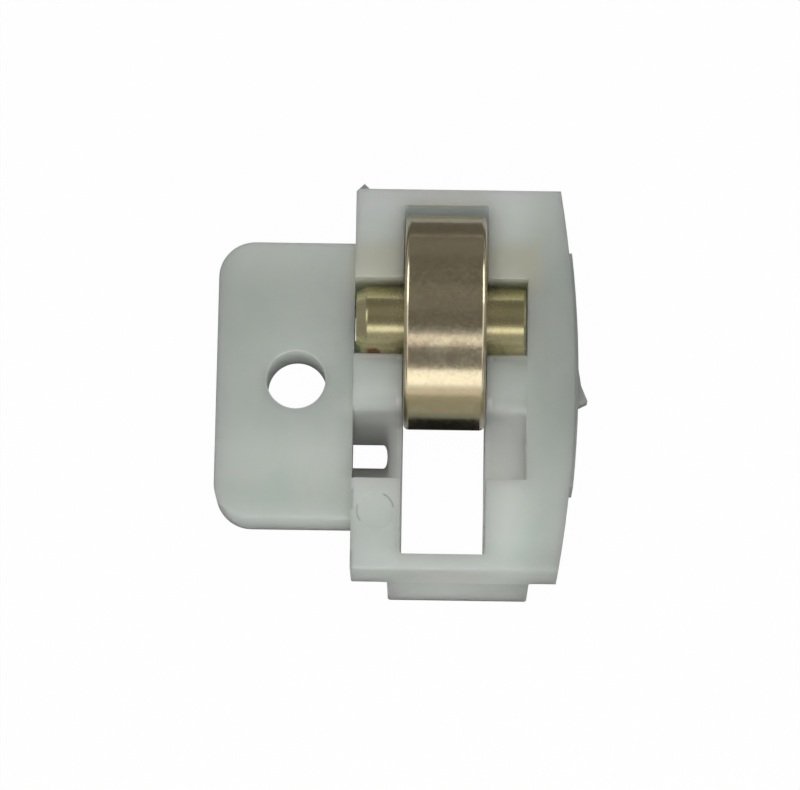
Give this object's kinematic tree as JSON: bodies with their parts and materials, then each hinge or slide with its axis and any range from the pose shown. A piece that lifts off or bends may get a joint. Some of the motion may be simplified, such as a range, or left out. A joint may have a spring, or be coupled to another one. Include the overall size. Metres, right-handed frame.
{
  "type": "nylon roller",
  "caption": "Sliding-sash roller: a shielded ball bearing on a pin serves as the wheel in a moulded nylon housing with a screw tab, an open window and a spare axle seat.",
  "frame": {"origin": "on the screw hole's axis, at the back face of the screw tab", "axes": "+X along the axle away from the screw tab, +Y along the track towards the seat that holds the wheel, +Z out of the front, along the screw hole"},
  "size_m": [0.0327, 0.0347, 0.0219],
  "materials": {
    "nylon": "natural translucent nylon, satin as moulded",
    "plated_steel": "yellow passivated zinc plating",
    "bearing_steel": "ground and polished bearing steel with a warm tint",
    "pressed_steel": "plain pressed sheet steel"
  },
  "bodies": {
    "housing": {"housing": "nylon", "axle_pin": "plated_steel", "bearing_inner_ring": "bearing_steel"},
    "wheel": {"bearing_outer_ring": "bearing_steel", "shield_left": "pressed_steel", "shield_right": "pressed_steel"},
    "ball_set": {"ball_cage": "pressed_steel", "ball_1": "bearing_steel", "ball_2": "bearing_steel", "ball_3": "bearing_steel", "ball_4": "bearing_steel", "ball_5": "bearing_steel", "ball_6": "bearing_steel", "ball_7": "bearing_steel"}
  },
  "joints": [
    {"name": "wheel_spin", "type": "hinge", "parent": "housing", "child": "wheel", "pos_m": [0.01305, 0.0058, 0.00305], "axis": [1, 0, 0], "continuous": true},
    {"name": "ball_orbit", "type": "hinge", "parent": "housing", "child": "ball_set", "pos_m": [0.01305, 0.0058, 0.00305], "axis": [1, 0, 0], "continuous": true}
  ],
  "couplings": [
    {"joint": "ball_orbit", "follows": "wheel_spin", "ratio": 0.6378}
  ]
}
